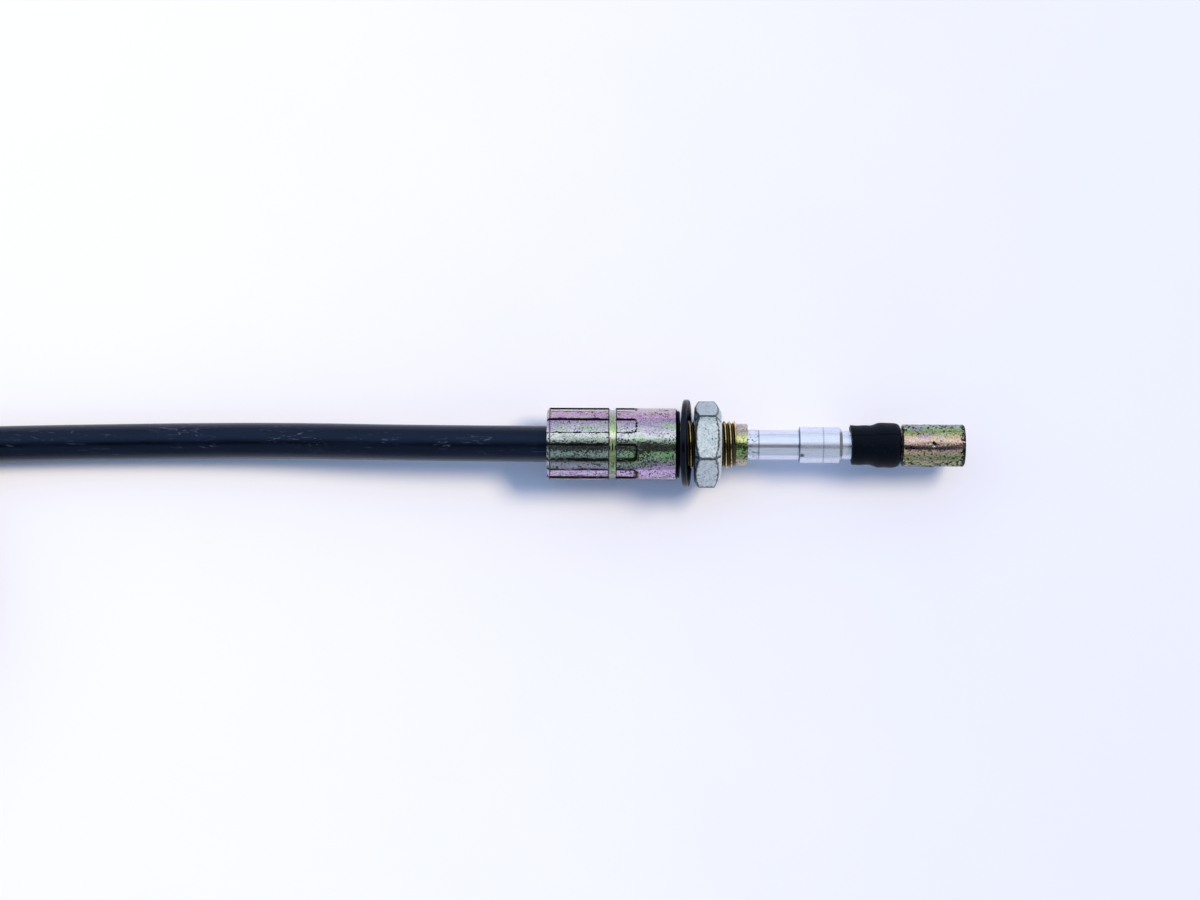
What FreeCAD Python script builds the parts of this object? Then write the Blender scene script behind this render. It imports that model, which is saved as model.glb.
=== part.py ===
import FreeCAD, Part
import math
import os

# A bulkhead push-pull control cable with the same fitting at both ends.
# X runs along the near fitting, from the conduit to the end barrel, and Z is up.
# The origin is on the axis, in the shoulder face that seats against the panel.
# All sizes are in millimetres, and angles round the axis start at +Z and go towards +Y.

V = FreeCAD.Vector
ORIGIN = V(0, 0, 0)
ALONG = V(1, 0, 0)
ACROSS = V(0, 1, 0)
UP = V(0, 0, 1)

# Conduit, from the outside in
conduit_d = 9.0
jacket_wall = 0.9
armour_wall = 0.9
armour_wire_width = 0.8
liner_wall = 0.85
core_d = 3.2
jacket_grip = 12.4

# Crimped ferrule with the panel thread turned on its nose
ferrule_d = 18.0
ferrule_length = 32.4
ferrule_chamfer = 0.75
shoulder_chamfer = 0.5
crimp_count = 8
crimp_length = 22.2
crimp_width = 4.0
crimp_depth = 0.38
crimp_corner = 1.1
crimp_first_angle = 31.5
groove_width = 1.8
groove_depth = 0.5
groove_from_shoulder = 16.1
thread_d = 12.0
thread_pitch = 1.25
thread_length = 14.5
nose_length = 3.0
web_thickness = 1.0
tube_seat_depth = 8.0

# Seal ring, loose washer and nut on the thread
ring_d = 16.7
ring_thickness = 0.6
washer_d = 22.0
washer_thickness = 1.4
washer_play = 1.8
washer_edge = 0.25
washer_lean = 6.0
washer_from_shoulder = 2.3
washer_aside = 0.2
nut_across_flats = 19.0
nut_thickness = 6.6
nut_from_shoulder = 4.36
nut_corner_angle = 40.7
nut_chamfer_angle = 30.0
nut_seat_chamfer = 0.25
nut_outer_chamfer = 1.4
nut_countersink = 0.7

# Guide tube and the bush on its end
rod_d = 5.0
tube_d = 7.5
tube_showing = 12.9
bush_d = 9.0
bush_length = 10.7
bush_chamfer = 0.8
bush_socket = 5.8
neck_d = 7.1
neck_showing = 2.2
neck_hidden = 6.6
barb_d = 7.9
barb_length = 2.2

# Rubber wiper boot
boot_length = 12.3
boot_d = 11.2
boot_mouth_d = 9.9
boot_sleeve_length = 4.6
boot_swell_length = 2.4
boot_end_round = 1.6

# Push rod and end barrel
rod_travel = 30.0
rod_inner_end = 6.0
core_socket = 10.0
barrel_d = 10.5
barrel_length = 15.6
barrel_chamfer = 0.35
barrel_gap = 0.4
barrel_stakes = 4
stake_first_angle = 3.5
stake_size = 0.6
stake_depth = 0.7
stake_from_start = 8.0
rod_end_recess = 0.8

# Clearances, all measured on the radius
rod_fit = 0.08
bush_fit = 0.05
press_gap = 0.03
core_play = 0.15

# Ties round the put-away hank
tie_width = 4.6
tie_thickness = 0.8
tie_gap = 0.1
tie_head = 5.0

# Places along the axis, from the shoulder outwards
nose_end = thread_length + nose_length
bush_start = nose_end + tube_showing
bush_end = bush_start + bush_length
boot_start = bush_end + neck_showing
boot_end = boot_start + boot_length
neck_end = boot_start + neck_hidden
barrel_start = boot_end + barrel_gap
barrel_end = barrel_start + barrel_length
conduit_stop = tube_seat_depth + web_thickness

# Radii that follow from the pieces inside one another
thread_root_r = (thread_d - 1.2269 * thread_pitch) / 2
nut_bore_r = (thread_d - 1.0825 * thread_pitch) / 2
tube_bore_r = rod_d / 2 + rod_fit
tube_seat_r = tube_d / 2 + press_gap
armour_r = conduit_d / 2 - jacket_wall
liner_r = armour_r - armour_wall
nut_corner_r = nut_across_flats / 2 / math.cos(math.radians(30))

# The nut's lowest corner and the washer's rim stand on the surface
corner_heights = [math.cos(math.radians(nut_corner_angle + 60 * k)) for k in range(6)]
floor_z = nut_corner_r * min(corner_heights)
lean = math.radians(washer_lean)
washer_z = floor_z + washer_d / 2 * math.cos(lean) + washer_thickness / 2 * math.sin(lean)

# The free conduit: a gentle bow down to the surface, then a tied hank of two turns
conduit_route = [
    V(-ferrule_length, 0, 0),
    V(-62, 0, 0),
    V(-102, 0.6, -4.6),
    V(-152, -0.2, -5.85),
    V(-198.5, -1.5, -5.4),
]
hank_right = -218.5
hank_near_y = -1.5
hank_run = 135.0
hank_fold_r = 36.0
hank_turns = 2
far_aside = -18.5
tail_start_angle = 25.0
hank_ends = (hank_right, hank_right - hank_run)
hank_middle_y = hank_near_y - hank_fold_r
hank_far_y = hank_near_y - 2 * hank_fold_r
hank_bottom = floor_z + tie_thickness + tie_gap
hank_height = hank_turns * conduit_d
tail_start_z = hank_bottom + hank_height - conduit_d / 2
hank_bevel = 0.29 * conduit_d


def turned(points):
    """A solid turned about the axis from points of (x, radius)."""
    outline = [V(x, 0, r) for x, r in points]
    face = Part.Face(Part.makePolygon(outline + outline[:1]))
    return face.revolve(ORIGIN, ALONG, 360)


def pipe(start, end, outer_r, inner_r):
    return turned([(start, inner_r), (end, inner_r), (end, outer_r), (start, outer_r)])


def bar(start, end, radius):
    return Part.makeCylinder(radius, end - start, V(start, 0, 0), ALONG)


def at_angle(shape, degrees):
    """A copy turned round the axis, from +Z towards +Y."""
    copy = shape.copy()
    copy.rotate(ORIGIN, ALONG, -degrees)
    return copy


def crimp_tool():
    """The die that presses one flat, with rounded corners at its inner end."""
    flat_z = ferrule_d / 2 - crimp_depth
    overrun = ferrule_chamfer + crimp_corner + 1
    corner = V(-ferrule_length - overrun, -crimp_width / 2, flat_z)
    die = Part.makeBox(crimp_length + overrun, crimp_width, ferrule_d / 4, corner)
    inner_x = crimp_length - ferrule_length
    corners = [
        edge
        for edge in die.Edges
        if all(abs(v.X - inner_x) < 1e-6 for v in edge.Vertexes)
        and abs(edge.tangentAt(edge.FirstParameter).z) > 0.5
    ]
    return die.makeFillet(crimp_corner, corners)


def make_ferrule():
    r = ferrule_d / 2
    body = turned([
        (-ferrule_length, 0),
        (-ferrule_length, r - ferrule_chamfer),
        (ferrule_chamfer - ferrule_length, r),
        (-shoulder_chamfer, r),
        (0, r - shoulder_chamfer),
        (0, thread_root_r),
        (nose_end, thread_root_r),
        (nose_end, 0),
    ])
    jacket_end_x = jacket_grip - ferrule_length
    cuts = [
        bar(-ferrule_length, jacket_end_x, conduit_d / 2 + press_gap),
        bar(-ferrule_length, -conduit_stop, armour_r + press_gap),
        bar(-ferrule_length, nose_end, core_d / 2 + core_play),
        bar(-tube_seat_depth, nose_end, tube_seat_r),
        pipe(
            -groove_from_shoulder - groove_width / 2,
            groove_width / 2 - groove_from_shoulder,
            ferrule_d,
            r - groove_depth,
        ),
    ]
    die = crimp_tool()
    for k in range(crimp_count):
        cuts.append(at_angle(die, crimp_first_angle + k * 360 / crimp_count))
    return body.cut(cuts)


def make_seal_ring():
    bore_r = thread_d / 2 + press_gap
    return pipe(0, ring_thickness, ring_d / 2, bore_r)


def make_washer():
    """Lies loose on the thread, its top leaning to the shoulder and its rim on the surface."""
    half = washer_thickness / 2
    bore_r = (thread_d + washer_play) / 2
    rim_r = washer_d / 2
    washer = turned([
        (-half, bore_r),
        (half, bore_r),
        (half, rim_r - washer_edge),
        (half - washer_edge, rim_r),
        (washer_edge - half, rim_r),
        (-half, rim_r - washer_edge),
    ])
    washer.rotate(ORIGIN, ACROSS, -washer_lean)
    washer.translate(V(washer_from_shoulder, washer_aside, washer_z))
    return washer


def make_nut():
    """Chamfered lightly where it seats on the washer and deeply on its outer face."""
    corners = []
    for k in range(6):
        a = math.radians(nut_corner_angle + 60 * k)
        corners.append(V(nut_from_shoulder, nut_corner_r * math.sin(a), nut_corner_r * math.cos(a)))
    hexagon = Part.Face(Part.makePolygon(corners + corners[:1]))
    prism = hexagon.extrude(V(nut_thickness, 0, 0))
    start = nut_from_shoulder
    end = nut_from_shoulder + nut_thickness
    seat_r = nut_across_flats / 2 - nut_seat_chamfer
    outer_r = nut_across_flats / 2 - nut_outer_chamfer
    reach = nut_corner_r + 1
    slope = math.tan(math.radians(nut_chamfer_angle))
    envelope = turned([
        (start, 0),
        (start, seat_r),
        (start + (reach - seat_r) * slope, reach),
        (end - (reach - outer_r) * slope, reach),
        (end, outer_r),
        (end, 0),
    ])
    mouth_r = nut_bore_r + nut_countersink
    bore = turned([
        (start, 0),
        (start, mouth_r),
        (start + nut_countersink, nut_bore_r),
        (end - nut_countersink, nut_bore_r),
        (end, mouth_r),
        (end, 0),
    ])
    return prism.common(envelope).cut(bore)


def make_guide_tube():
    return pipe(-tube_seat_depth, bush_start + bush_socket, tube_d / 2, tube_bore_r)


def neck_outline(grow):
    """The bush's neck with its barb, as (x, radius), made larger by grow on the radius."""
    barb_start = neck_end - barb_length
    return [
        (bush_end, neck_d / 2 + grow),
        (barb_start, neck_d / 2 + grow),
        (barb_start, barb_d / 2 + grow),
        (neck_end + grow, neck_d / 2 - bush_chamfer / 2 + grow),
    ]


def make_rod_bush():
    r = bush_d / 2
    body = turned(
        [(bush_start, 0), (bush_start, r), (bush_end - bush_chamfer, r), (bush_end, r - bush_chamfer)]
        + neck_outline(0)
        + [(neck_end, 0)]
    )
    socket = bar(bush_start, bush_start + bush_socket, tube_seat_r)
    bore = bar(bush_start, neck_end, rod_d / 2 + bush_fit)
    return body.cut([socket, bore])


def make_boot():
    """Pushed over the barbed neck, with a lip that wipes the rod."""
    sleeve_r = boot_mouth_d / 2
    bulge_r = boot_d / 2
    swell_start = boot_start + boot_sleeve_length
    swell_end = swell_start + boot_swell_length
    bevel = boot_end_round / 2
    body = turned([
        (boot_start, 0),
        (boot_start, sleeve_r),
        (swell_start, sleeve_r),
        (swell_end, bulge_r),
        (boot_end - boot_end_round, bulge_r),
        (boot_end - bevel / 2, bulge_r - bevel),
        (boot_end, bulge_r - 2 * bevel),
        (boot_end, 0),
    ])
    socket = turned(
        [(bush_end, 0)] + neck_outline(press_gap) + [(neck_end + press_gap, 0)]
    )
    lip = bar(boot_start, boot_end, rod_d / 2 + bush_fit)
    return body.cut([socket, lip])


def make_push_rod():
    end = barrel_end - rod_end_recess
    chamfer = rod_d / 10
    rod = turned([
        (-rod_inner_end, 0),
        (-rod_inner_end, rod_d / 2 - chamfer),
        (chamfer - rod_inner_end, rod_d / 2),
        (end - chamfer, rod_d / 2),
        (end, rod_d / 2 - chamfer),
        (end, 0),
    ])
    socket = bar(-rod_inner_end, core_socket - rod_inner_end, core_d / 2 + press_gap)
    return rod.cut(socket)


def make_end_barrel():
    """Staked on the rod, with the turned wall's seam midway between two stakes."""
    r = barrel_d / 2
    bore_r = rod_d / 2 + press_gap
    barrel = turned([
        (barrel_start, bore_r),
        (barrel_start, r - barrel_chamfer),
        (barrel_start + barrel_chamfer, r),
        (barrel_end - barrel_chamfer, r),
        (barrel_end, r - barrel_chamfer),
        (barrel_end, bore_r + rod_end_recess),
        (barrel_end - rod_end_recess, bore_r),
    ])
    stake_x = barrel_start + stake_from_start
    tip = Part.Vertex(stake_x, 0, r - stake_depth)
    reach = 2 * stake_size
    top_z = r + stake_depth
    corners = [V(stake_x + dx, dy, top_z) for dx, dy in ((reach, 0), (0, reach), (-reach, 0), (0, -reach))]
    punch = Part.makeLoft([Part.makePolygon(corners + corners[:1]), tip], True)
    spacing = 360 / barrel_stakes
    stakes = [at_angle(punch, stake_first_angle + k * spacing) for k in range(barrel_stakes)]
    return at_angle(barrel, stake_first_angle - spacing / 2).cut(stakes)


def make_core_wire():
    return bar(press_gap - ferrule_length, core_socket - rod_inner_end, core_d / 2)


def make_inner_liner():
    return pipe(-ferrule_length, -conduit_stop, liner_r, liner_r - liner_wall)


def make_armour_wires():
    """Straight flat steel wires laid side by side round the liner."""
    inner_r = liner_r + press_gap
    count = int(math.pi / math.atan(armour_wire_width / 2 / inner_r))
    corner = V(-ferrule_length, -armour_wire_width / 2, inner_r)
    length = ferrule_length - conduit_stop
    wire = Part.makeBox(length, armour_wire_width, armour_wall - 2 * press_gap, corner)
    return Part.makeCompound([at_angle(wire, k * 360 / count) for k in range(count)])


def make_jacket_end():
    return pipe(-ferrule_length, jacket_grip - ferrule_length, conduit_d / 2, armour_r + press_gap)


def tube_along(route, diameter):
    """Straight runs joined by tangent arcs, swept with a round section."""
    edges = []
    radii = []
    start = route[0]
    for before, point, after in zip(route, route[1:], route[2:]):
        back = (before - point).normalize()
        ahead = (after - point).normalize()
        reach = 0.45 * min((before - point).Length, (after - point).Length)
        half_turn = (math.pi - back.getAngle(ahead)) / 2
        radius = reach / math.tan(half_turn)
        radii.append(radius)
        to_middle = (back + ahead).normalize()
        middle = point + to_middle * (radius / math.cos(half_turn) - radius)
        arc_start = point + back * reach
        arc_end = point + ahead * reach
        edges.append(Part.LineSegment(start, arc_start).toShape())
        edges.append(Part.Arc(arc_start, middle, arc_end).toShape())
        start = arc_end
    edges.append(Part.LineSegment(start, route[-1]).toShape())
    path = Part.Wire(edges)
    section = Part.Wire([Part.Circle(route[0], route[1] - route[0], diameter / 2).toShape()])
    tube = path.makePipeShell([section], True, False)
    full = path.Length * math.pi * diameter**2 / 4
    print("conduit radii", [round(r) for r in radii], "volume share", round(tube.Volume / full, 4))
    return tube


def stadium(radius, height, z):
    """A long round-ended slab round the hank's two folds."""
    ends = [Part.makeCylinder(radius, height, V(x, hank_middle_y, z)) for x in hank_ends]
    corner = V(hank_ends[1], hank_middle_y - radius, z)
    return ends[0].fuse([ends[1], Part.makeBox(hank_run, 2 * radius, height, corner)]).removeSplitter()


def make_hank():
    """The outer shape of the turns, lying on each other."""
    outer = stadium(hank_fold_r + conduit_d / 2, hank_height, hank_bottom)
    inner = stadium(hank_fold_r - conduit_d / 2, hank_height, hank_bottom)
    ring = outer.cut(inner)
    flat_edges = [e for e in ring.Edges if abs(e.tangentAt(e.FirstParameter).z) < 0.5]
    return ring.makeChamfer(hank_bevel, flat_edges)


def make_tail():
    """The last fold, from the top turn down to the far ferrule, with the hank's bevels."""
    start = V(hank_right, hank_far_y, tail_start_z)
    end = V(hank_right, far_aside, 0)
    centre = (start + end) * 0.5
    fold_r = (end - start).Length / 2
    tilt = math.degrees(math.atan2(start.z - end.z, end.y - start.y))
    half = conduit_d / 2
    square = Part.makeBox(conduit_d, conduit_d, conduit_d, V(0, -fold_r - half, -half))
    along = [e for e in square.Edges if abs(e.tangentAt(0).x) > 0.5]
    block = square.makeChamfer(hank_bevel, along)
    section = min(block.Faces, key=lambda face: face.CenterOfMass.x)
    section.rotate(ORIGIN, UP, tail_start_angle)
    tail = section.revolve(ORIGIN, UP, 180 - tail_start_angle)
    tail.rotate(ORIGIN, ALONG, -tilt)
    tail.translate(centre)
    return tail


def make_hank_ties():
    """One strap round the turns on each side of the hank."""
    inner_w = conduit_d + 2 * tie_gap
    inner_h = hank_height + 2 * tie_gap
    outer_w = inner_w + 2 * tie_thickness
    outer_h = inner_h + 2 * tie_thickness
    middle_x = hank_right - hank_run / 2
    ties = []
    for side_y in (hank_near_y, hank_far_y):
        shells = []
        for width, height, lift in ((outer_w, outer_h, 0), (inner_w, inner_h, tie_thickness)):
            corner = V(middle_x - tie_width / 2, side_y - width / 2, floor_z + lift)
            block = Part.makeBox(tie_width, width, height, corner)
            along = [e for e in block.Edges if abs(e.tangentAt(0).x) > 0.5]
            shells.append(block.makeChamfer(0.27 * width, along))
        head_z = floor_z + outer_h - tie_thickness / 2
        head_corner = V(middle_x - tie_head / 2, side_y - tie_head / 2, head_z)
        head = Part.makeBox(tie_head, tie_head, tie_head * 0.7, head_corner)
        ties.append(shells[0].fuse(head).cut(shells[1]))
    return Part.makeCompound(ties)


fixed_pieces = {
    "ferrule": make_ferrule(),
    "seal_ring": make_seal_ring(),
    "panel_washer": make_washer(),
    "hex_nut": make_nut(),
    "guide_tube": make_guide_tube(),
    "rod_bush": make_rod_bush(),
    "wiper_boot": make_boot(),
    "jacket_end": make_jacket_end(),
    "armour_wires": make_armour_wires(),
    "inner_liner": make_inner_liner(),
}
rod_pieces = {
    "push_rod": make_push_rod(),
    "end_barrel": make_end_barrel(),
    "core_wire": make_core_wire(),
}


def place_far(shape, pushed_out):
    """A copy in the far fitting, which points back along the hank."""
    copy = shape.copy()
    copy.translate(V(pushed_out, 0, 0))
    copy.rotate(ORIGIN, UP, 180)
    copy.translate(V(hank_right - ferrule_length, far_aside, 0))
    return copy


nodes = {
    **fixed_pieces,
    **rod_pieces,
    "conduit": tube_along(conduit_route, conduit_d),
    "conduit_hank": make_hank(),
    "conduit_tail": make_tail(),
    "hank_ties": make_hank_ties(),
}
for name, shape in fixed_pieces.items():
    nodes["far_" + name] = place_far(shape, 0)
for name, shape in rod_pieces.items():
    nodes["far_" + name] = place_far(shape, rod_travel)

os.makedirs("parts", exist_ok=True)
for name, shape in nodes.items():
    shape.exportStep(f"parts/{name}.step")
    print(name, len(shape.Solids), round(shape.Volume, 2), shape.isValid())
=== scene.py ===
import math

import bpy
from mathutils import Matrix, Vector


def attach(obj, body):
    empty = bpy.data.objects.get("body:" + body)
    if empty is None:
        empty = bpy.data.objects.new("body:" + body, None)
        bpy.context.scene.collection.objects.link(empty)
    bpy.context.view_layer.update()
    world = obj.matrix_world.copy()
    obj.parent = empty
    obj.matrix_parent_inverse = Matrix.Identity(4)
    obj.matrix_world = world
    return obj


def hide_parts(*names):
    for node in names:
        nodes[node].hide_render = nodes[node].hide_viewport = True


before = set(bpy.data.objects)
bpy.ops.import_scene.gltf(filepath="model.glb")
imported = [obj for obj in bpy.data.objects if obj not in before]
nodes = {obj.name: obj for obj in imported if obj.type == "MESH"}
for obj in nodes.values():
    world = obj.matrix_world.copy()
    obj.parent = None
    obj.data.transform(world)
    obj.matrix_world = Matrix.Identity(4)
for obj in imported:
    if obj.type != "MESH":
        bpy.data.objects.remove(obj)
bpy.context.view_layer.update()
mm = 0.001
samePoint = 0.0005 * mm  # points nearer than this become one
print("frame loaded:", len(nodes), "nodes")

# The near fitting points along +X from the origin. The far one is the same fitting, turned back.
farPlace = {"location": (-250.9 * mm, -18.5 * mm, 0), "turn": math.pi}
nearPlace = {"location": (0, 0, 0), "turn": 0}
rodOut = 30.0  # how far the far rod stands out at rest
floorHeight = -10.354


# camera, from straight above

view = {"x": -19.2, "y": -1.5, "height": 800, "fieldAngle": 21.2, "turn": 0.27}


def addCamera():
    camera = bpy.data.objects.new("camera", bpy.data.cameras.new("camera"))
    bpy.context.scene.collection.objects.link(camera)
    camera.location = (view["x"] * mm, view["y"] * mm, view["height"] * mm)
    camera.rotation_euler = (0, 0, math.radians(view["turn"]))
    camera.data.sensor_fit = "HORIZONTAL"
    camera.data.angle = math.radians(view["fieldAngle"])
    camera.data.clip_start = 0.01
    camera.data.clip_end = 20
    bpy.context.scene.camera = camera


addCamera()


# the conduit: a gentle bow, two hank turns and a last fold into the far ferrule

conduit = {
    "diameter": 9.0,
    "bow": [(-32.4, 0, 0), (-62, 0, 0), (-102, 0.6, -4.6), (-152, -0.2, -5.85), (-198.5, -1.5, -5.4)],
    "runs": (-250, -320),
    "layers": (-4.95, 4.05),
    "climb": (-3.4, -0.4, 2.9),
    "nearSide": -1.5,
    "farSide": -73.5,
    "rightFold": -218.5,
    "leftFold": -353.5,
    "ferruleAside": -18.5,
    "length": 1150,
}


def foldCorners(centre, radius, startDegrees, heights):
    # corners of a half turn, whose sides touch the fold's circle
    corners = []
    turn = math.radians(180 / len(heights))
    reach = radius / math.cos(turn / 2)
    for k, height in enumerate(heights):
        angle = math.radians(startDegrees) + turn * (k + 0.5)
        corners.append((centre[0] + reach * math.cos(angle), centre[1] + reach * math.sin(angle), height))
    return corners


def conduitCorners():
    low, high = conduit["layers"]
    near, far, aside = conduit["nearSide"], conduit["farSide"], conduit["ferruleAside"]
    right, left = conduit["rightFold"], conduit["leftFold"]
    middle = (near + far) / 2
    radius = (near - far) / 2
    going = conduit["runs"]
    coming = going[::-1]
    corners = list(conduit["bow"])
    corners += [(x, near, low) for x in going]
    corners += foldCorners((left, middle), radius, 90, [low] * 6)
    corners += [(x, far, low) for x in coming]
    corners += foldCorners((right, middle), radius, 270, [low, *conduit["climb"], high, high])
    corners += [(x, near, high) for x in going]
    corners += foldCorners((left, middle), radius, 90, [high] * 6)
    corners += [(x, far, high) for x in coming]
    lastFold = foldCorners((right, (aside + far) / 2), (aside - far) / 2, 270, [0] * 6)
    corners += [(x, y, high * (aside - y) / (aside - far)) for x, y, _ in lastFold]
    corners.append((right, aside, 0))
    return corners


def makeConduit():
    curve = bpy.data.curves.new("conduitCord", "CURVE")
    curve.dimensions = "3D"
    corners = conduitCorners()
    spline = curve.splines.new("NURBS")
    spline.points.add(len(corners) - 1)
    for point, corner in zip(spline.points, corners):
        point.co = (corner[0] * mm, corner[1] * mm, corner[2] * mm, 1)
    spline.order_u = 3
    spline.use_endpoint_u = True
    spline.resolution_u = 12
    curve.bevel_depth = conduit["diameter"] / 2 * mm
    curve.bevel_resolution = 10
    curve.use_fill_caps = True
    piece = bpy.data.objects.new("conduitCord", curve)
    bpy.context.scene.collection.objects.link(piece)
    return piece


conduitCord = makeConduit()
print("camera and conduit made")


# tools for modelling

def setMode(mode):
    bpy.ops.object.mode_set(mode=mode)


def deselect():
    if bpy.context.object and bpy.context.object.mode != "OBJECT":
        setMode("OBJECT")
    bpy.ops.object.select_all(action="DESELECT")


def activate(piece):
    deselect()
    piece.select_set(True)
    bpy.context.view_layer.objects.active = piece


def settle(piece):
    # its place goes into its mesh
    activate(piece)
    bpy.ops.object.transform_apply(location=True, rotation=True, scale=True)


def smooth(piece, degrees=35):
    activate(piece)
    bpy.ops.object.shade_smooth_by_angle(angle=math.radians(degrees))


def drawOutline(name, outline):
    # one corner is drawn along the outline of (x, radius) in mm
    deselect()
    first = outline[0]
    bpy.ops.mesh.primitive_plane_add(size=mm, location=(first[0] * mm, 0, first[1] * mm))
    piece = bpy.context.object
    piece.name = piece.data.name = name
    settle(piece)
    setMode("EDIT")
    bpy.ops.mesh.select_mode(type="VERT")
    bpy.ops.mesh.select_all(action="SELECT")
    bpy.ops.mesh.merge(type="CENTER")
    for before, after in zip(outline, outline[1:]):
        move = ((after[0] - before[0]) * mm, 0, (after[1] - before[1]) * mm)
        bpy.ops.mesh.extrude_region_move(TRANSFORM_OT_translate={"value": move})
    bpy.ops.mesh.select_all(action="SELECT")
    return piece


def closeSeams():
    bpy.ops.mesh.select_all(action="SELECT")
    bpy.ops.mesh.remove_doubles(threshold=samePoint)
    bpy.ops.mesh.normals_make_consistent(inside=False)
    setMode("OBJECT")


def lathe(name, outline, steps=128):
    # an outline spun round the fitting's axis
    piece = drawOutline(name, outline)
    bpy.ops.mesh.remove_doubles(threshold=samePoint)
    bpy.ops.mesh.spin(steps=steps, angle=2 * math.pi, center=(0, 0, 0), axis=(1, 0, 0))
    closeSeams()
    return piece


def closed(outline):
    return outline + outline[:1]


def applyModifier(piece, kind, settings):
    activate(piece)
    modifier = piece.modifiers.new(kind.lower(), kind)
    for key, value in settings.items():
        setattr(modifier, key, value)
    bpy.ops.object.modifier_apply(modifier=modifier.name)


def cut(piece, tool, operation="DIFFERENCE"):
    applyModifier(piece, "BOOLEAN", {"object": tool, "operation": operation, "solver": "EXACT"})
    bpy.data.objects.remove(tool)


def joined(name, pieces):
    activate(pieces[0])
    for piece in pieces[1:]:
        piece.select_set(True)
    bpy.ops.object.join()
    pieces[0].name = pieces[0].data.name = name
    return pieces[0]


def roundEdges(piece, width, segments=2, degrees=30):
    applyModifier(piece, "BEVEL", {
        "width": width * mm, "segments": segments, "limit_method": "ANGLE",
        "angle_limit": math.radians(degrees), "harden_normals": False,
    })


def roll(piece, degrees):
    # turned round the fitting's axis, from +Z towards +Y
    piece.data.transform(Matrix.Rotation(-math.radians(degrees), 4, "X"))


def copyOf(piece, name):
    copy = bpy.data.objects.new(name, piece.data.copy())
    copy.data.name = name
    bpy.context.scene.collection.objects.link(copy)
    return copy


def block(centre, size):
    # a block to start from, in mm
    deselect()
    bpy.ops.mesh.primitive_cube_add(size=1, location=[value * mm for value in centre])
    piece = bpy.context.object
    piece.scale = [value * mm for value in size]
    settle(piece)
    return piece


def pickFaces(piece, wanted):
    # edit mode is left open, with the faces selected whose normals are wanted
    setMode("EDIT")
    bpy.ops.mesh.select_all(action="DESELECT")
    setMode("OBJECT")
    for polygon in piece.data.polygons:
        polygon.select = wanted(polygon.normal)
    setMode("EDIT")
    bpy.ops.mesh.select_mode(type="FACE")


# pieces of the fitting, sizes in mm

ferrule = {
    "length": 32.4, "radius": 9.0, "chamfer": 0.75, "shoulderChamfer": 0.5,
    "conduitBore": 4.53, "armourBore": 3.63, "wireBore": 1.75, "tubeSeat": 3.78,
    "grip": 12.4, "stop": 9.0, "seatDepth": 8.0,
    "groovePlace": -16.1, "grooveWidth": 1.8, "grooveDepth": 0.5,
    "flats": 8, "flatLength": 22.2, "flatWidth": 4.0, "flatDepth": 0.36,
    "flatCorner": 1.1, "flatCrown": 15.0, "firstFlat": 31.5, "dieReach": 3,
    "threadEnd": 14.5, "noseEnd": 17.5, "rootRadius": 5.233, "noseRadius": 5.22,
}
thread = {
    "pitch": 1.25, "turns": 13, "crestAtTop": 14.5325, "crestRadius": 6.0, "crestWidth": 0.17,
    "rootWidth": 1.06, "overlap": 0.01, "footDepth": 0.2,
    "start": -0.4, "endChamfer": ((0.3, 5.3), (-0.05, 6.2)),
}


def crimpDie():
    # a bar that lies over one flat, with a crowned face and two rounded corners
    height, sunk = 4, 0.5
    length = ferrule["flatLength"] + ferrule["dieReach"]
    left = -ferrule["length"] - ferrule["dieReach"]
    low = ferrule["radius"] - ferrule["flatDepth"]
    middle = left + length / 2
    die = block((middle, 0, low - sunk + height / 2), (length, ferrule["flatWidth"], height))
    for edge in die.data.edges:
        ends = [die.data.vertices[k].co for k in edge.vertices]
        upright = abs(ends[0].z - ends[1].z) > 1 * mm
        edge.select = upright and min(end.x for end in ends) > middle * mm
    setMode("EDIT")
    bpy.ops.mesh.select_mode(type="EDGE")
    bpy.ops.mesh.bevel(offset=ferrule["flatCorner"] * mm, segments=8)
    deselect()
    bpy.ops.mesh.primitive_cylinder_add(
        vertices=512, radius=ferrule["flatCrown"] * mm, depth=3 * length * mm,
        location=(middle * mm, 0, (low - ferrule["flatCrown"]) * mm), rotation=(0, math.pi / 2, 0),
    )
    form = bpy.context.object
    settle(form)
    cut(die, form)
    return die


def makeThreadRidge():
    pitch, turns, crest = thread["pitch"], thread["turns"], thread["crestRadius"]
    half = thread["crestWidth"] / 2
    foot = thread["rootWidth"] / 2
    root = ferrule["rootRadius"] - thread["overlap"]
    sunk = ferrule["rootRadius"] - thread["footDepth"]
    middle = thread["crestAtTop"] - turns * pitch
    ridge = drawOutline("threadRidge", closed([
        (middle - foot, sunk), (middle - foot, root), (middle - half, crest),
        (middle + half, crest), (middle + foot, root), (middle + foot, sunk),
    ]))
    setMode("OBJECT")
    applyModifier(ridge, "SCREW", {
        "axis": "X", "angle": 2 * math.pi, "screw_offset": pitch * mm, "iterations": turns,
        "steps": 96, "render_steps": 96, "use_merge_vertices": False, "use_smooth_shade": False,
    })
    setMode("EDIT")
    bpy.ops.mesh.select_all(action="SELECT")
    bpy.ops.mesh.remove_doubles(threshold=samePoint)
    bpy.ops.mesh.fill_holes(sides=0)
    closeSeams()
    # it starts inside the shoulder and is chamfered at the thread's end
    start = thread["start"]
    chamfer = [(ferrule["threadEnd"] + x, radius) for x, radius in thread["endChamfer"]]
    inside, outside = 4.9, chamfer[1][1]
    cut(ridge, lathe("threadEnvelope", closed([
        (start, inside), (chamfer[0][0], inside), *chamfer, (start, outside),
    ]), 96), "INTERSECT")
    return ridge


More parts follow.
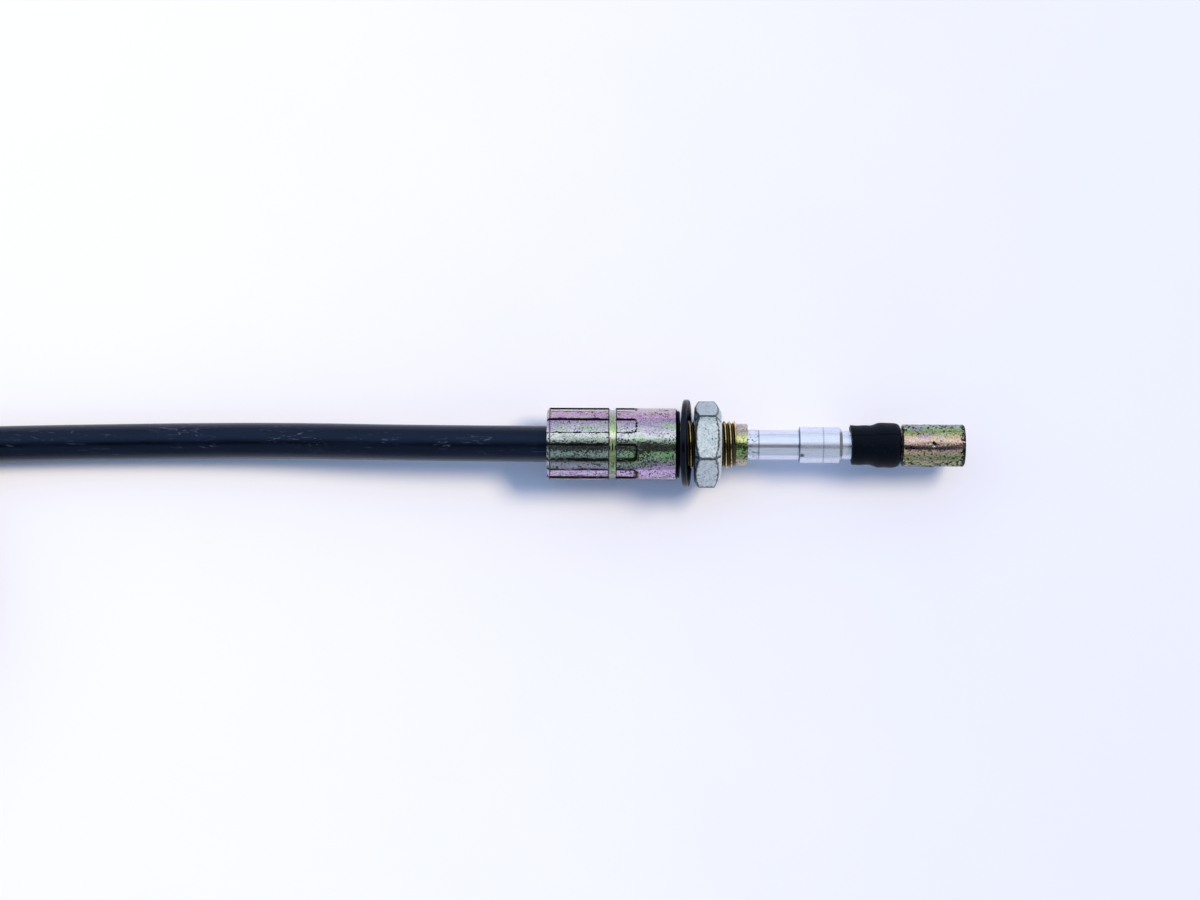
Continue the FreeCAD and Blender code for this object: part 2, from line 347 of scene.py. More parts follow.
def makeFerrule():
    r = ferrule["radius"]
    back = -ferrule["length"]
    grip = back + ferrule["grip"]
    stop, seat = -ferrule["stop"], -ferrule["seatDepth"]
    chamfer, shoulder = ferrule["chamfer"], ferrule["shoulderChamfer"]
    body = lathe("ferruleBody", closed([
        (back, ferrule["conduitBore"]), (back, r - chamfer), (back + chamfer, r),
        (-shoulder, r), (0, r - shoulder), (0, ferrule["rootRadius"]),
        (ferrule["threadEnd"], ferrule["rootRadius"]), (ferrule["noseEnd"], ferrule["noseRadius"]),
        (ferrule["noseEnd"], ferrule["tubeSeat"]), (seat, ferrule["tubeSeat"]),
        (seat, ferrule["wireBore"]), (stop, ferrule["wireBore"]),
        (stop, ferrule["armourBore"]), (grip, ferrule["armourBore"]), (grip, ferrule["conduitBore"]),
    ]), 192)
    die = crimpDie()
    for k in range(ferrule["flats"]):
        tool = copyOf(die, "crimpCopy")
        roll(tool, ferrule["firstFlat"] + k * 360 / ferrule["flats"])
        cut(body, tool)
    bpy.data.objects.remove(die)
    # the groove across the flats has a round bottom
    place, depth = ferrule["groovePlace"], ferrule["grooveDepth"]
    half = ferrule["grooveWidth"] / 2
    arcRadius = (half ** 2 + depth ** 2) / (2 * depth)
    centre = r - depth + arcRadius
    bottom = []
    for k in range(-6, 7):
        aside = half * k / 6
        bottom.append((place + aside, centre - math.sqrt(arcRadius ** 2 - aside ** 2)))
    cut(body, lathe("grooveTool", closed(bottom + [(place + half, r + 1), (place - half, r + 1)]), 192))
    roundEdges(body, 0.07, degrees=20)
    smooth(body, 25)
    ridge = makeThreadRidge()
    smooth(ridge, 40)
    return joined("nearFerrule", [body, ridge])


nearFerrule = makeFerrule()
print("ferrule modelled:", len(nearFerrule.data.polygons), "faces")


sealRing = {"thickness": 0.6, "radius": 8.35, "bore": 6.03, "edge": 0.2}
washer = {
    "thickness": 1.4, "radius": 11.0, "bore": 6.9, "boreEdge": 0.15, "rimEdge": 0.3, "rimRound": (0.12, 0.08),
    "x": 2.3, "aside": 0.2, "lean": 6.0,
}
nut = {
    "acrossFlats": 19.0, "thickness": 6.6, "start": 4.36, "cornerAngle": 40.7, "bore": 6.02, "mouth": 6.5,
    "mouthDepth": 0.5, "seatChamfer": 0.25, "outerChamfer": 1.4, "chamferAngle": 30,
}


def makeSealRing():
    thick, edge = sealRing["thickness"], sealRing["edge"]
    inner, outer = sealRing["bore"], sealRing["radius"]
    ring = lathe("nearSealRing", closed([
        (0, inner), (thick, inner), (thick, outer - edge), (thick - edge, outer),
        (edge, outer), (0, outer - edge),
    ]))
    smooth(ring)
    return ring


def washerHeight():
    # its rim stands on the table
    lean = math.radians(washer["lean"])
    return floorHeight + washer["radius"] * math.cos(lean) + washer["thickness"] / 2 * math.sin(lean)


def makeWasher():
    half = washer["thickness"] / 2
    inner, outer = washer["bore"], washer["radius"]
    edge, rim = washer["boreEdge"], washer["rimEdge"]
    across, down = washer["rimRound"]
    piece = lathe("nearWasher", closed([
        (-half, inner + edge), (edge - half, inner), (half - edge, inner), (half, inner + edge),
        (half, outer - rim), (half - across, outer - down), (half - rim, outer),
        (rim - half, outer), (across - half, outer - down), (-half, outer - rim),
    ]), 160)
    piece.data.transform(Matrix.Rotation(-math.radians(washer["lean"]), 4, "Y"))
    piece.data.transform(Matrix.Translation((washer["x"] * mm, washer["aside"] * mm, washerHeight() * mm)))
    smooth(piece, 50)
    return piece


def makeNut():
    start, thick = nut["start"], nut["thickness"]
    end = start + thick
    flat = nut["acrossFlats"] / 2
    corner = flat / math.cos(math.radians(30))
    deselect()
    bpy.ops.mesh.primitive_cylinder_add(vertices=6, radius=corner * mm, depth=thick * mm)
    piece = bpy.context.object
    piece.name = piece.data.name = "nearNut"
    # the cylinder's axis is laid along X, and then one of its corners is 30 degrees from +Z
    middle = (start + thick / 2) * mm
    piece.matrix_world = Matrix.Translation((middle, 0, 0)) @ Matrix.Rotation(math.radians(90), 4, "Y")
    settle(piece)
    roll(piece, nut["cornerAngle"] - 30)
    seat = flat - nut["seatChamfer"]
    outer = flat - nut["outerChamfer"]
    depth, mouth, bore = nut["mouthDepth"], nut["mouth"], nut["bore"]
    slope = math.tan(math.radians(nut["chamferAngle"]))
    reach = corner + 1
    past = 0.001
    cut(piece, lathe("nutEnvelope", closed([
        (start - past, mouth), (start - past, seat), (start + (reach - seat) * slope, reach),
        (end - (reach - outer) * slope, reach), (end + past, outer), (end + past, mouth),
        (end - depth, bore), (start + depth, bore),
    ]), 160), "INTERSECT")
    roundEdges(piece, 0.16, 3, 20)
    smooth(piece, 35)
    return piece


nearSealRing = makeSealRing()
nearWasher = makeWasher()
nearNut = makeNut()
print("ring, washer and nut modelled")


tube = {
    "start": -8.0, "end": 36.2, "radius": 3.75, "bore": 2.58, "edge": 0.2,
    "lineAt": 20.2, "lineWidth": 0.14, "lineDepth": 0.05, "lineSlope": 0.03,
}
bush = {
    "start": 30.4, "end": 41.1, "radius": 4.5, "chamfer": 0.8, "socket": 3.78, "bore": 2.55, "edge": 0.12,
    "lineAt": 36.2, "lineWidth": 0.22, "lineDepth": 0.06, "lineSlope": 0.02,
    "neck": 3.55, "barbStart": 47.7, "neckEnd": 49.9, "barb": 3.95, "barbTaper": 0.4,
    "punchAt": 31.0, "punchAngle": -36, "punchSize": 0.4, "punchDepth": 0.35,
}
rod = {"start": -6.0, "end": 70.8, "radius": 2.5, "edge": 0.5, "crown": 0.15}
barrel = {
    "start": 56.0, "end": 71.6, "radius": 5.25, "chamfer": 0.35, "bore": 2.53, "mouth": 0.8,
    "stakeAt": 63.6, "stakes": 4, "firstStake": 3.5, "stakeSize": 0.95, "stakeDepth": 0.5,
    "swellAt": 62.5, "swellSize": (2.1, 1.5, 0.5), "swellSunk": 0.25,
}


def turnedLine(turned):
    # a fine line turned into the piece
    at, width, slope = turned["lineAt"], turned["lineWidth"], turned["lineSlope"]
    r = turned["radius"]
    low = r - turned["lineDepth"]
    return [(at, r), (at + slope, low), (at + width, low), (at + width + slope, r)]


def makeGuideTube():
    start, end, edge = tube["start"], tube["end"], tube["edge"]
    r = tube["radius"]
    piece = lathe("nearGuideTube", closed([
        (start, tube["bore"]), (start, r - edge), (start + edge, r), *turnedLine(tube),
        (end, r), (end, tube["bore"]),
    ]))
    smooth(piece)
    return piece


def dent(piece, x, degrees, radius, depth, surface):
    # a four-sided punch pressed into the surface at that place round the axis
    deselect()
    bpy.ops.mesh.primitive_cone_add(vertices=4, radius1=0, radius2=2 * radius * mm,
                                    depth=2 * depth * mm, location=(x * mm, 0, surface * mm))
    tool = bpy.context.object
    settle(tool)
    roll(tool, degrees)
    cut(piece, tool)


def makeBush():
    start, end, line = bush["start"], bush["end"], bush["lineAt"]
    edge, chamfer = bush["edge"], bush["chamfer"]
    r, neck, bore, socket = bush["radius"], bush["neck"], bush["bore"], bush["socket"]
    piece = lathe("nearRodBush", closed([
        (start, socket), (start, r - edge), (start + edge, r), *turnedLine(bush),
        (end - chamfer, r), (end, r - chamfer), (end, neck),
        (bush["barbStart"], neck), (bush["barbStart"], bush["barb"]),
        (bush["neckEnd"], neck - bush["barbTaper"]), (bush["neckEnd"], bore), (line, bore), (line, socket),
    ]))
    dent(piece, bush["punchAt"], bush["punchAngle"], bush["punchSize"], bush["punchDepth"], r)
    smooth(piece, 30)
    return piece


def makeRod():
    start, end, r = rod["start"], rod["end"], rod["radius"]
    edge, crown = rod["edge"], rod["crown"]
    piece = lathe("nearRod", [
        (start, 0), (start, r - edge), (start + edge, r),
        (end - edge, r), (end - crown, r - crown), (end, r - edge), (end, 0),
    ], 96)
    smooth(piece)
    return piece


def makeBarrel():
    start, end, bore = barrel["start"], barrel["end"], barrel["bore"]
    r, chamfer, mouth = barrel["radius"], barrel["chamfer"], barrel["mouth"]
    piece = lathe("nearBarrel", closed([
        (start, bore), (start, r - chamfer), (start + chamfer, r),
        (end - chamfer, r), (end, r - chamfer), (end, bore + mouth), (end - mouth, bore),
    ]), 160)
    for k in range(barrel["stakes"]):
        degrees = barrel["firstStake"] + k * 360 / barrel["stakes"]
        dent(piece, barrel["stakeAt"], degrees, barrel["stakeSize"], barrel["stakeDepth"], r)
    # the metal that the lowest punch pushed up
    deselect()
    place = (barrel["swellAt"] * mm, 0, (r - barrel["swellSunk"]) * mm)
    bpy.ops.mesh.primitive_uv_sphere_add(segments=48, ring_count=24, radius=mm, location=place)
    swell = bpy.context.object
    swell.scale = barrel["swellSize"]
    settle(swell)
    roll(swell, barrel["firstStake"] - 90)
    cut(piece, swell, "UNION")
    roundEdges(piece, 0.06, degrees=25)
    smooth(piece, 30)
    return piece


nearGuideTube = makeGuideTube()
nearRodBush = makeBush()
nearRod = makeRod()
nearBarrel = makeBarrel()
print("tube, bush, rod and barrel modelled")


boot = {
    "start": 43.3, "end": 55.6, "sleeve": 4.95, "bulge": 5.6, "bore": 2.55, "room": 0.03, "mouthEdge": 0.12,
    "bulgeFrom": 4.6, "bulgeLength": 2.6, "narrowFrom": 3.4, "narrowLength": 3.0, "narrowing": 0.18,
    "endCorner": 1.18, "lip": 0.05, "lipLength": 0.9, "inside": 4.0,
    "seamAngle": 28.5, "seamShare": 0.16 / 5.2, "waves": 0.0084,
    "slant": 5.5, "slantLength": 3.0, "ragged": 0.1,
}


def rise(x, start, length):
    # from 0 at the start to 1 after that length
    return min(max((x - start) / length, 0), 1)


def bootOutline():
    # inside along the neck from the flat end to the mouth, then the outer skin back to the end
    start, end, corner = boot["start"], boot["end"], boot["endCorner"]
    sleeve, bulge, bore = boot["sleeve"], boot["bulge"], boot["bore"]
    neck, barb = bush["neck"] + boot["room"], bush["barb"] + boot["room"]
    barbStart, neckEnd = bush["barbStart"] - boot["room"], bush["neckEnd"] + 0.05
    outline = [
        (end, bore), (neckEnd, bore), (neckEnd, bush["neck"] - 0.35), (barbStart, barb), (barbStart, neck),
        (start + 0.1, neck), (start, bush["neck"] + 0.2), (start, sleeve - 0.05),
    ]
    count = 34
    first, last = start + boot["mouthEdge"], end - corner
    for k in range(count + 1):
        x = first + (last - first) * k / count
        swell = rise(x, start + boot["bulgeFrom"], boot["bulgeLength"])
        swell = swell * swell * (3 - 2 * swell)
        late = rise(x, end - boot["narrowFrom"], boot["narrowLength"])
        lip = 1 - rise(x, start, boot["lipLength"])
        radius = sleeve + (bulge - sleeve) * swell - boot["narrowing"] * late * late
        outline.append((x, radius + boot["lip"] * lip))
    cornerRadius = bulge - boot["narrowing"] - corner
    for k in range(1, 7):
        angle = math.radians(15 * k)
        outline.append((last + corner * math.sin(angle), cornerRadius + corner * math.cos(angle)))
    return outline


def makeBoot():
    steps = 144
    piece = lathe("nearBoot", closed(bootOutline()), steps)
    roll(piece, boot["seamAngle"])
    seam = math.radians(boot["seamAngle"])
    slope = math.tan(math.radians(boot["slant"])) / 2
    for vertex in piece.data.vertices:
        x, y, z = [value / mm for value in vertex.co]
        if math.hypot(y, z) < boot["inside"]:
            continue
        angle = math.atan2(y, z)
        wave = math.sin(2.1 * angle + 0.9 * x) * math.sin(0.8 * x + 1.3 * angle)
        wave += 0.5 * math.sin(3 * angle - 1.4 * x)
        grow = 1 + boot["waves"] * wave
        # the column of points at the seam's angle is pressed in
        away = (angle - seam + math.pi) % (2 * math.pi) - math.pi
        if abs(away) < math.pi / steps:
            grow -= boot["seamShare"]
        vertex.co.y *= grow
        vertex.co.z *= grow
        # the mouth is slanted and ragged
        near = 1 - rise(x, boot["start"], boot["slantLength"])
        ragged = 0.5 * math.sin(5 * angle + 0.7) + 0.3 * math.sin(11 * angle) + 0.2 * math.sin(17 * angle + 2)
        vertex.co.x += near * (boot["ragged"] * (ragged + 1) - slope * y) * mm
    smooth(piece, 45)
    return piece


nearBoot = makeBoot()
print("boot modelled")


tie = {
    "x": -286.0, "width": 4.6, "thickness": 0.8, "gap": 0.1, "roundness": 2.6,
    "head": (5.0, 5.0, 3.0), "headSunk": 0.3, "slotRim": 1.1, "slotDepth": 1.4,
}


def makeTie(name, sideY):
    low, high = conduit["layers"]
    wide = conduit["diameter"] + 2 * tie["gap"]
    tall = high - low + wide
    middle = (low + high) / 2
    band = block((tie["x"], sideY, middle), (tie["width"], wide, tall))
    for edge in band.data.edges:
        ends = [band.data.vertices[k].co for k in edge.vertices]
        edge.select = abs(ends[0].x - ends[1].x) > 1 * mm
    setMode("EDIT")
    bpy.ops.mesh.select_mode(type="EDGE")
    bpy.ops.mesh.bevel(offset=tie["roundness"] * mm, segments=8)
    pickFaces(band, lambda normal: abs(normal.x) > 0.9)
    bpy.ops.mesh.delete(type="FACE")
    setMode("OBJECT")
    applyModifier(band, "SOLIDIFY", {"thickness": tie["thickness"] * mm, "offset": 1})
    roundEdges(band, 0.15, degrees=40)
    # the head sits on top, with the slot that the strap is pulled through
    headMiddle = middle + tall / 2 + tie["thickness"] + tie["head"][2] / 2 - tie["headSunk"]
    head = block((tie["x"], sideY, headMiddle), tie["head"])
    pickFaces(head, lambda normal: normal.z > 0.9)
    bpy.ops.mesh.inset(thickness=tie["slotRim"] * mm)
    bpy.ops.transform.translate(value=(0, 0, -tie["slotDepth"] * mm))
    setMode("OBJECT")
    roundEdges(head, 0.35, 3, 40)
    piece = joined(name, [band, head])
    smooth(piece, 40)
    return piece


nearTie = makeTie("hankTieNear", conduit["nearSide"])
farTie = makeTie("hankTieFar", conduit["farSide"])
print("ties modelled")


# finishes

def connect(node, values):
    # a wire is linked, and a number or colour is set on the socket
    for key, value in values.items():
        if isinstance(value, Wire):
            node.id_data.links.new(value.socket, node.inputs[key])
        else:
            node.inputs[key].default_value = value


class Wire:
    # a socket that takes part in sums
    def __init__(self, socket):
        self.socket = socket

    def add(self, kind, settings, inputs, output=0):
        node = self.socket.id_data.nodes.new(kind)
        for key, value in settings.items():
            if key == "stops":
                ramp = node.color_ramp
                while len(ramp.elements) < len(value):
                    ramp.elements.new(0.5)
                for element, (place, hue) in zip(ramp.elements, value):
                    element.position = place
                    element.color = (*hue, 1)
            else:
                setattr(node, key, value)
        connect(node, inputs)
        return Wire(node.outputs[output])

    def sum(self, operation, other=0, swapped=False):
        first, second = (other, self) if swapped else (self, other)
        return self.add("ShaderNodeMath", {"operation": operation}, {0: first, 1: second})

    def __abs__(self):
        return self.sum("ABSOLUTE")

    def __add__(self, other):
        return self.sum("ADD", other)

    __radd__ = __add__

    def __sub__(self, other):
        return self.sum("SUBTRACT", other)

    def __rsub__(self, other):
        return self.sum("SUBTRACT", other, swapped=True)

    def __mul__(self, other):
        return self.sum("MULTIPLY", other)

    __rmul__ = __mul__

    def __truediv__(self, other):
        return self.sum("DIVIDE", other)

    def __rtruediv__(self, other):
        return self.sum("DIVIDE", other, swapped=True)

    def step(self, low, high, start=0, end=1):
        # a smooth change from start to end while this goes from low to high
        return self.add("ShaderNodeMapRange", {"interpolation_type": "SMOOTHSTEP"},
                        {"Value": self, "From Min": low, "From Max": high, "To Min": start, "To Max": end})

    def noise(self, scale, detail=3, roughness=0.55, distortion=0):
        return self.add("ShaderNodeTexNoise", {}, {"Vector": self, "Scale": scale, "Detail": detail,
                                                   "Roughness": roughness, "Distortion": distortion})

    def stretch(self, factors):
        return self.add("ShaderNodeVectorMath", {"operation": "MULTIPLY"}, {0: self, 1: factors})

    def axes(self, names):
        return [self.add("ShaderNodeSeparateXYZ", {}, {0: self}, "XYZ".index(name)) for name in names]

    def blend(self, first, second):
        # this is how much of the second colour shows
        return self.add("ShaderNodeMix", {"data_type": "RGBA"}, {0: self, 6: first, 7: second}, 2)


def most(first, *others):
    for other in others:
        first = first.sum("MAXIMUM", other)
    return first


def colour(red, green, blue):
    # written as seen on a screen, from 0 to 255
    linear = []
    for value in (red, green, blue):
        value /= 255
        linear.append(value / 12.92 if value <= 0.04045 else ((value + 0.055) / 1.055) ** 2.4)
    return (*linear, 1)


def startFinish(name, place):
    # the pattern's coordinates are in mm in the fitting's own frame
    material = bpy.data.materials.new(name)
    material.use_nodes = True
    shader = material.node_tree.nodes["Principled BSDF"]
    coordinates = material.node_tree.nodes.new("ShaderNodeTexCoord")
    here = Wire(coordinates.outputs["Object"])
    here = here.add("ShaderNodeMapping", {"vector_type": "TEXTURE"},
                    {"Vector": here, "Location": place["location"], "Rotation": (0, 0, place["turn"]),
                     "Scale": (mm, mm, mm)})
    return material, shader, here


def bump(height, strength, depth):
    return height.add("ShaderNodeBump", {}, {"Height": height, "Strength": strength, "Distance": depth * mm})


# the passivated film's hues, from the -Y side of the fitting to its +Y side; their change by side is painted
# sheen and highlight
ferruleFilmAndSheen = [
    (0.0, (120, 106, 130)), (0.05, (186, 158, 204)), (0.11, (204, 164, 220)), (0.16, (176, 160, 190)),
    (0.22, (138, 144, 146)), (0.28, (144, 176, 130)), (0.37, (146, 200, 136)), (0.45, (156, 178, 142)),
    (0.53, (180, 186, 174)), (0.60, (222, 226, 214)), (0.66, (230, 218, 224)), (0.74, (188, 178, 196)),
    (0.80, (178, 152, 188)), (0.90, (194, 144, 190)), (0.95, (204, 174, 188)), (1.0, (196, 198, 196)),
]
barrelZinc = [
    (0.0, (110, 110, 100)), (0.10, (146, 140, 96)), (0.20, (150, 148, 96)), (0.28, (210, 186, 138)),
    (0.35, (250, 200, 176)), (0.48, (236, 190, 172)), (0.60, (246, 196, 178)), (0.68, (218, 182, 140)),
    (0.76, (176, 166, 104)), (0.84, (148, 168, 98)), (0.92, (136, 176, 118)), (1.0, (150, 176, 160)),
]
# the nose's hues by side hold a painted highlight band
noseFilmAndHighlight = [
    (0.0, (176, 150, 150)), (0.10, (168, 146, 130)), (0.20, (150, 160, 96)), (0.32, (150, 196, 96)),
    (0.42, (140, 190, 100)), (0.50, (196, 206, 110)), (0.58, (250, 240, 150)), (0.66, (222, 222, 130)),
    (0.76, (200, 180, 150)), (0.88, (208, 180, 180)), (1.0, (190, 176, 180)),
]
# the groove's hues by side hold a painted highlight band and painted shade towards -Y
grooveHighlightAndShade = [
    (0.0, (90, 92, 96)), (0.10, (110, 124, 104)), (0.25, (112, 140, 80)), (0.40, (150, 166, 100)),
    (0.52, (150, 166, 104)), (0.57, (214, 228, 160)), (0.61, (255, 255, 226)), (0.66, (240, 250, 196)),
    (0.71, (190, 212, 140)), (0.80, (164, 184, 122)), (0.90, (152, 160, 136)), (1.0, (196, 192, 200)),
]


def zincHues(here, palette, radius):
    # the hue changes round the axis, as the film's colours with painted sheen and highlights by side, and
    # wanders in patches drawn out along it
    y = here.axes("Y")[0]
    patches = here.stretch((0.10, 0.34, 0.34)).noise(1.0, 3, 0.6, 0.5)
    streaks = here.stretch((0.35, 2.2, 2.2)).noise(1.0, 4, 0.65)
    sheenAndFilmPlace = (y / radius) * 0.5 + 0.5 + (patches - 0.5) * 0.35 + (streaks - 0.5) * 0.16
    stops = [(place, colour(*hue)[:3]) for place, hue in palette]
    hue = sheenAndFilmPlace.add("ShaderNodeValToRGB", {"stops": stops}, {0: sheenAndFilmPlace})
    clouds = here.stretch((0.16, 0.5, 0.5)).noise(1.1, 3, 0.55, 0.8)
    hue = clouds.step(0.56, 0.66, 0, 0.5).blend(hue, colour(160, 128, 190))
    hue = clouds.step(0.42, 0.34, 0, 0.5).blend(hue, colour(150, 206, 128))
    # the film is thin in places, and fine flecks of it are pale or dull
    bare = here.stretch((0.3, 0.9, 0.9)).noise(1.4, 4, 0.7)
    hue = bare.step(0.46, 0.66, 0, 0.6).blend(hue, colour(188, 194, 184))
    fleck = here.noise(2.8, 2, 0.7)
    hue = fleck.step(0.54, 0.64, 0, 0.4).blend(hue, colour(226, 226, 220))
    return fleck.step(0.46, 0.38, 0, 0.4).blend(hue, colour(84, 86, 80))


def zincPitsAndShade(here, radius, amount):
    # dark pits; the extra ones on the -Y side are painted shade, and the band of them along the crest, a
    # little to -Y, is a painted dark reflection
    y = here.axes("Y")[0]
    crowd = here.stretch((0.2, 0.45, 0.45)).noise(1.0, 3, 0.6)
    shade = (y / radius).step(0.25, -0.25)
    ridge = abs(y + radius * 0.05) / radius
    grain = here.noise(2.1, 2, 0.75) + (crowd - 0.5) * 0.4 + shade * 0.06 + ridge.step(0.24, 0.06) * 0.12
    return grain.step(0.60 - amount, 0.64 - amount)


def yellowZinc(place, tag):
    material, shader, here = startFinish("yellowZinc" + tag, place)
    x, y, z = here.axes("XYZ")
    r = ferrule["radius"]
    hue = zincHues(here, ferruleFilmAndSheen, r)
    # along the pressed length, a band on the -Y half is greyer
    greyerLowerBand = x.step(-12.5, -14.5) * y.step(1.0, -1.0) * y.step(-7.4, -6.0) * 0.5
    hue = greyerLowerBand.blend(hue, colour(176, 184, 196))
    # the thread and nose are more golden
    onThread = x.step(-0.2, 0.2)
    golden = here.stretch((0.5, 1.4, 1.4)).noise(1.2, 3, 0.6).step(0.35, 0.65)
    hue = onThread.blend(hue, golden.blend(colour(222, 182, 120), colour(232, 220, 160)))
    # the nose's hues include a painted highlight band
    onNose = x.step(ferrule["threadEnd"], ferrule["threadEnd"] + 0.2)
    hue = onNose.blend(hue, zincHues(here, noseFilmAndHighlight, ferrule["noseRadius"]))
    # the groove is turned bright, and its hues by side hold a painted highlight and painted shade
    half = ferrule["grooveWidth"] / 2
    fromGroove = abs(x - ferrule["groovePlace"])
    inGroove = fromGroove.step(half + 0.1, half - 0.1)
    hue = inGroove.blend(hue, zincHues(here, grooveHighlightAndShade, r))
    # dark lines along the pressed flats' edges, partly dirt and partly painted crease shade; on the -Y half
    # painted shade widens them and darkens round them, and a heavier painted shade lies along one edge of
    # each flat
    turn = 2 * math.pi / ferrule["flats"]
    across = y.sum("ARCTAN2", z) - math.radians(ferrule["firstFlat"]) + turn / 2
    across = (across.sum("FLOORED_MODULO", turn) - turn / 2) * r
    corner = ferrule["flatCorner"]
    past = most(x + (ferrule["length"] - ferrule["flatLength"] + corner), 0)
    beside = most(abs(across) - (ferrule["flatWidth"] / 2 + 0.02 - corner), 0)
    inside = corner - (past * past + beside * beside).sum("SQRT")
    away = abs(inside)
    ragged = here.stretch((0.35, 1.2, 1.2)).noise(1.4, 4, 0.75)
    body = x.step(-0.5, -0.6) * (1 - inGroove)
    shadeSideWidening = y.step(0.8, -0.8) * 0.14
    lines = (away - (ragged - 0.46) * 2.0 - shadeSideWidening).step(0.20, 0.02)
    grimeAndShadeBelow = away.step(1.0, 0.25) * y.step(0.7, -0.7) * ragged.step(0.40, 0.52, 0.45, 0.9)
    flatEdgeShade = across.step(1.5, 1.7) * inside.step(-0.1, 0.05) * (inside - (ragged - 0.5) * 1.2).step(0.62, 0.42)
    rims = abs(x + (ferrule["length"] - ferrule["chamfer"]))
    rims = (rims - (ragged - 0.4) * 0.4).step(0.2, 0.05)
    edges = (abs(fromGroove - (half + 0.05)) - (ragged - 0.5) * 0.4).step(0.2, 0.06)
    # painted shade: a dark band on the shoulder's chamfer, next to the seal ring
    end = (x - (ragged - 0.5) * 0.5).step(-0.5, -0.25) * x.step(0.1, 0.0)
    # painted shade: the thread's valleys are black, and all of it between the shoulder and the nut
    radius = (y * y + z * z).sum("SQRT")
    valleyShade = radius.step(5.72, 5.40) * onThread * (1 - onNose) * 0.9
    shadeBetweenParts = onThread * x.step(4.6, 4.2) * radius.step(6.1, 5.9) * 0.55
    # dirt and painted shade together
    dirtAndShade = most(most(lines, flatEdgeShade, grimeAndShadeBelow) * body, rims * 0.8, edges * 0.9, end * 0.9, valleyShade, shadeBetweenParts)
    pitsAndShade = zincPitsAndShade(here, r, 0.0) * (1 - inGroove)
    dark = most(pitsAndShade * 0.9, dirtAndShade)
    hue = dark.blend(hue, colour(32, 31, 27))
    rough = here.noise(1.6, 3, 0.6).step(0.3, 0.7, 0.06, 0.14) + dark * 0.4
    height = here.noise(2.6, 4, 0.65) - dark * 0.8
    connect(shader, {"Base Color": hue, "Metallic": 1.0, "Roughness": rough,
                     "Normal": bump(height, 0.25, 0.05)})
    return material


def barrelYellowZinc(place, tag):
    material, shader, here = startFinish("barrelZinc" + tag, place)
    x, y, z = here.axes("XYZ")
    r = barrel["radius"]
    hue = zincHues(here, barrelZinc, r)
    pitsAndShade = zincPitsAndShade(here, r, -0.02)
    # the edges are chipped dark; each stake is painted with shade on one half and a highlight on the other
    ragged = here.noise(1.0, 3, 0.7) - 0.5
    chips = (ragged * 6.0 + x - barrel["end"]).step(-0.9, -0.7)
    worn = (ragged * 3.0 + barrel["start"] - x).step(-0.22, -0.08)
    belly = ((here.noise(1.2, 3, 0.7) - 0.5) * 5.0 + abs(y / r)).step(1.06, 1.14)
    turn = 2 * math.pi / barrel["stakes"]
    angle = y.sum("ARCTAN2", z) - (math.radians(barrel["firstStake"]) - turn / 2)
    turned = (angle.sum("FLOORED_MODULO", turn) - turn / 2) * r
    beside = x - barrel["stakeAt"]
    spread = abs(turned) + abs(beside)
    stakeShade = spread.step(0.92, 0.78) * (turned + beside).step(-0.35, -0.1)
    stakeHighlight = spread.step(1.3, 1.0) * (turned + beside).step(-0.1, -0.4)
    hue = (stakeHighlight * 0.9).blend(hue, colour(255, 244, 224))
    dark = most(pitsAndShade * 0.85, chips, worn, belly, stakeShade)
    hue = dark.blend(hue, colour(34, 31, 24))
    rough = here.noise(1.6, 3, 0.6).step(0.3, 0.7, 0.05, 0.10) + dark * 0.4
    height = here.noise(2.4, 4, 0.65) - dark * 0.8
    connect(shader, {"Base Color": hue, "Metallic": 1.0, "Roughness": rough,
                     "Normal": bump(height, 0.15, 0.04)})
    return material


def clearZinc(place, tag):
    material, shader, here = startFinish("clearZinc" + tag, place)
    x, y, z = here.axes("XYZ")
    mottle = here.noise(0.9, 4, 0.7, 0.3)
    grain = here.noise(2.6, 3, 0.75)
    hue = mottle.step(0.38, 0.62).blend(colour(186, 198, 198), colour(212, 220, 222))
    hue = grain.step(0.50, 0.62, 0, 0.7).blend(hue, colour(142, 158, 158))
    # painted shade: the face towards +Y is darker and bluer
    topFaceShade = y.step(4.6, 7.0) * 0.6
    hue = topFaceShade.blend(hue, colour(132, 152, 162))
    specks = here.noise(2.2, 2, 0.8).step(0.58, 0.63) * here.noise(0.5, 2).step(0.42, 0.56)
    # dark outlines where the six faces meet and where the chamfers cut them
    apothem = nut["acrossFlats"] / 2
    sixth = math.pi / 3
    angle = y.sum("ARCTAN2", z) - math.radians(nut["cornerAngle"])
    angle = abs(angle.sum("FLOORED_MODULO", sixth) - sixth / 2)
    corner = apothem * math.tan(sixth / 2) - angle.sum("TANGENT") * apothem
    rising = apothem / angle.sum("COSINE") - apothem
    slope = math.tan(math.radians(nut["chamferAngle"]))
    seatEdge = x - nut["start"] - (rising + nut["seatChamfer"]) * slope
    outerEdge = nut["start"] + nut["thickness"] - x - (rising + nut["outerChamfer"]) * slope
    ragged = (here.noise(1.4, 3, 0.75) - 0.45) * 1.2
    outline = (corner - ragged).step(0.50, 0.25)
    seatLine = (abs(seatEdge) - ragged).step(0.32, 0.12)
    outerLine = (abs(outerEdge) - ragged).step(0.24, 0.06)
    # the end faces stay clean up to their rims
    outside = (y * y + z * z).step(72, 76)
    dark = most(most(outline, seatLine, outerLine) * outside * 0.92, specks)
    hue = dark.blend(hue, colour(24, 28, 30))
    rough = mottle.step(0.3, 0.7, 0.30, 0.44)
    connect(shader, {"Base Color": hue, "Metallic": 0.4 - dark * 0.3, "Roughness": rough,
                     "Normal": bump(grain + mottle, 0.30, 0.05)})
    return material


